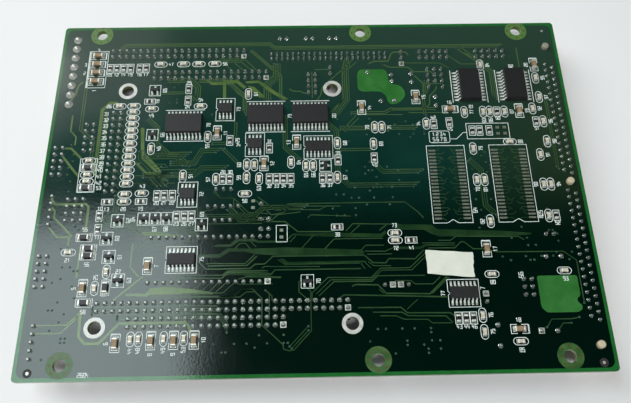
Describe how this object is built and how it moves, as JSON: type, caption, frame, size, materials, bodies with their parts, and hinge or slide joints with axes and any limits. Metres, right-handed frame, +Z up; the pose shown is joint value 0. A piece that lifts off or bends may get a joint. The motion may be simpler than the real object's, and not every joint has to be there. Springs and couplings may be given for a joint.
{
  "type": "cpu board",
  "caption": "Rectangular single-board computer lying on its connectors, soldered side up, with surface-mounted chips, tinned lands and rows of soldered pins.",
  "frame": {"origin": "centre of the board in X and Y, on the surface that the part lies on", "axes": "+X to the right along the long edge, +Y to the back, +Z up out of the soldered side"},
  "size_m": [0.184, 0.13, 0.015],
  "materials": {
    "solder_mask": "dark teal-green solder mask over copper, satin",
    "tinned_copper": "tinned copper lands, satin",
    "solder": "bright solder",
    "white_plastic": "natural nylon",
    "tinned_pin": "tinned metal",
    "black_plastic": "black moulded plastic",
    "gold_pin": "gold-plated contact",
    "tan_plastic": "tan moulded plastic",
    "mould_compound": "dark grey moulding compound",
    "can_metal": "plain steel can",
    "can_sleeve": "dark blue sleeve",
    "green_lens": "green tinted lens",
    "tan_ceramic": "tan ceramic",
    "beige_ceramic": "beige ceramic",
    "resistor_body": "dark glazed ceramic",
    "ferrite": "dark grey ferrite",
    "end_cap": "tinned end caps",
    "paper": "blank matt paper label"
  },
  "bodies": {
    "root": {"circuit_board": "solder_mask", "standoff_lands": "tinned_copper", "memory_chip_lands": "tinned_copper", "spare_lands": "tinned_copper", "power_header": "white_plastic", "power_pins": "tinned_pin", "power_joints": "solder", "hard_drive_shroud": "black_plastic", "hard_drive_pins": "gold_pin", "floppy_shroud": "black_plastic", "floppy_pins": "gold_pin", "port_shroud": "black_plastic", "port_pins": "gold_pin", "fine_drive_insulator": "black_plastic", "fine_drive_pins": "gold_pin", "header_insulators": "black_plastic", "header_pins": "gold_pin", "bus_socket_64": "black_plastic", "bus_socket_40": "black_plastic", "bus_contacts": "gold_pin", "bus_pin_tails": "solder", "header_pin_tails": "solder", "fine_pin_tails": "solder", "memory_socket": "tan_plastic", "memory_contacts": "gold_pin", "memory_latches": "tinned_pin", "memory_pin_tails": "solder", "flash_socket": "black_plastic", "flash_chip": "mould_compound", "flash_chip_leads": "tinned_pin", "flash_pin_tails": "solder", "processor": "mould_compound", "chipset": "mould_compound", "clock_crystals": "can_metal", "electrolytic_cans": "can_sleeve", "buzzer": "black_plastic", "edge_leds": "green_lens", "leaded_part_tails": "solder", "wide_chips": "mould_compound", "wide_chip_leads": "tinned_pin", "logic_chips": "mould_compound", "logic_chip_leads": "tinned_pin", "amplifier_chips": "mould_compound", "amplifier_chip_leads": "tinned_pin", "transistors": "mould_compound", "transistor_leads": "tinned_pin", "large_capacitors": "tan_ceramic", "large_capacitor_ends": "end_cap", "small_capacitors": "beige_ceramic", "small_capacitor_ends": "end_cap", "resistors": "resistor_body", "resistor_ends": "end_cap", "ferrite_beads": "ferrite", "ferrite_bead_ends": "end_cap", "paper_label": "paper"}
  },
  "joints": []
}
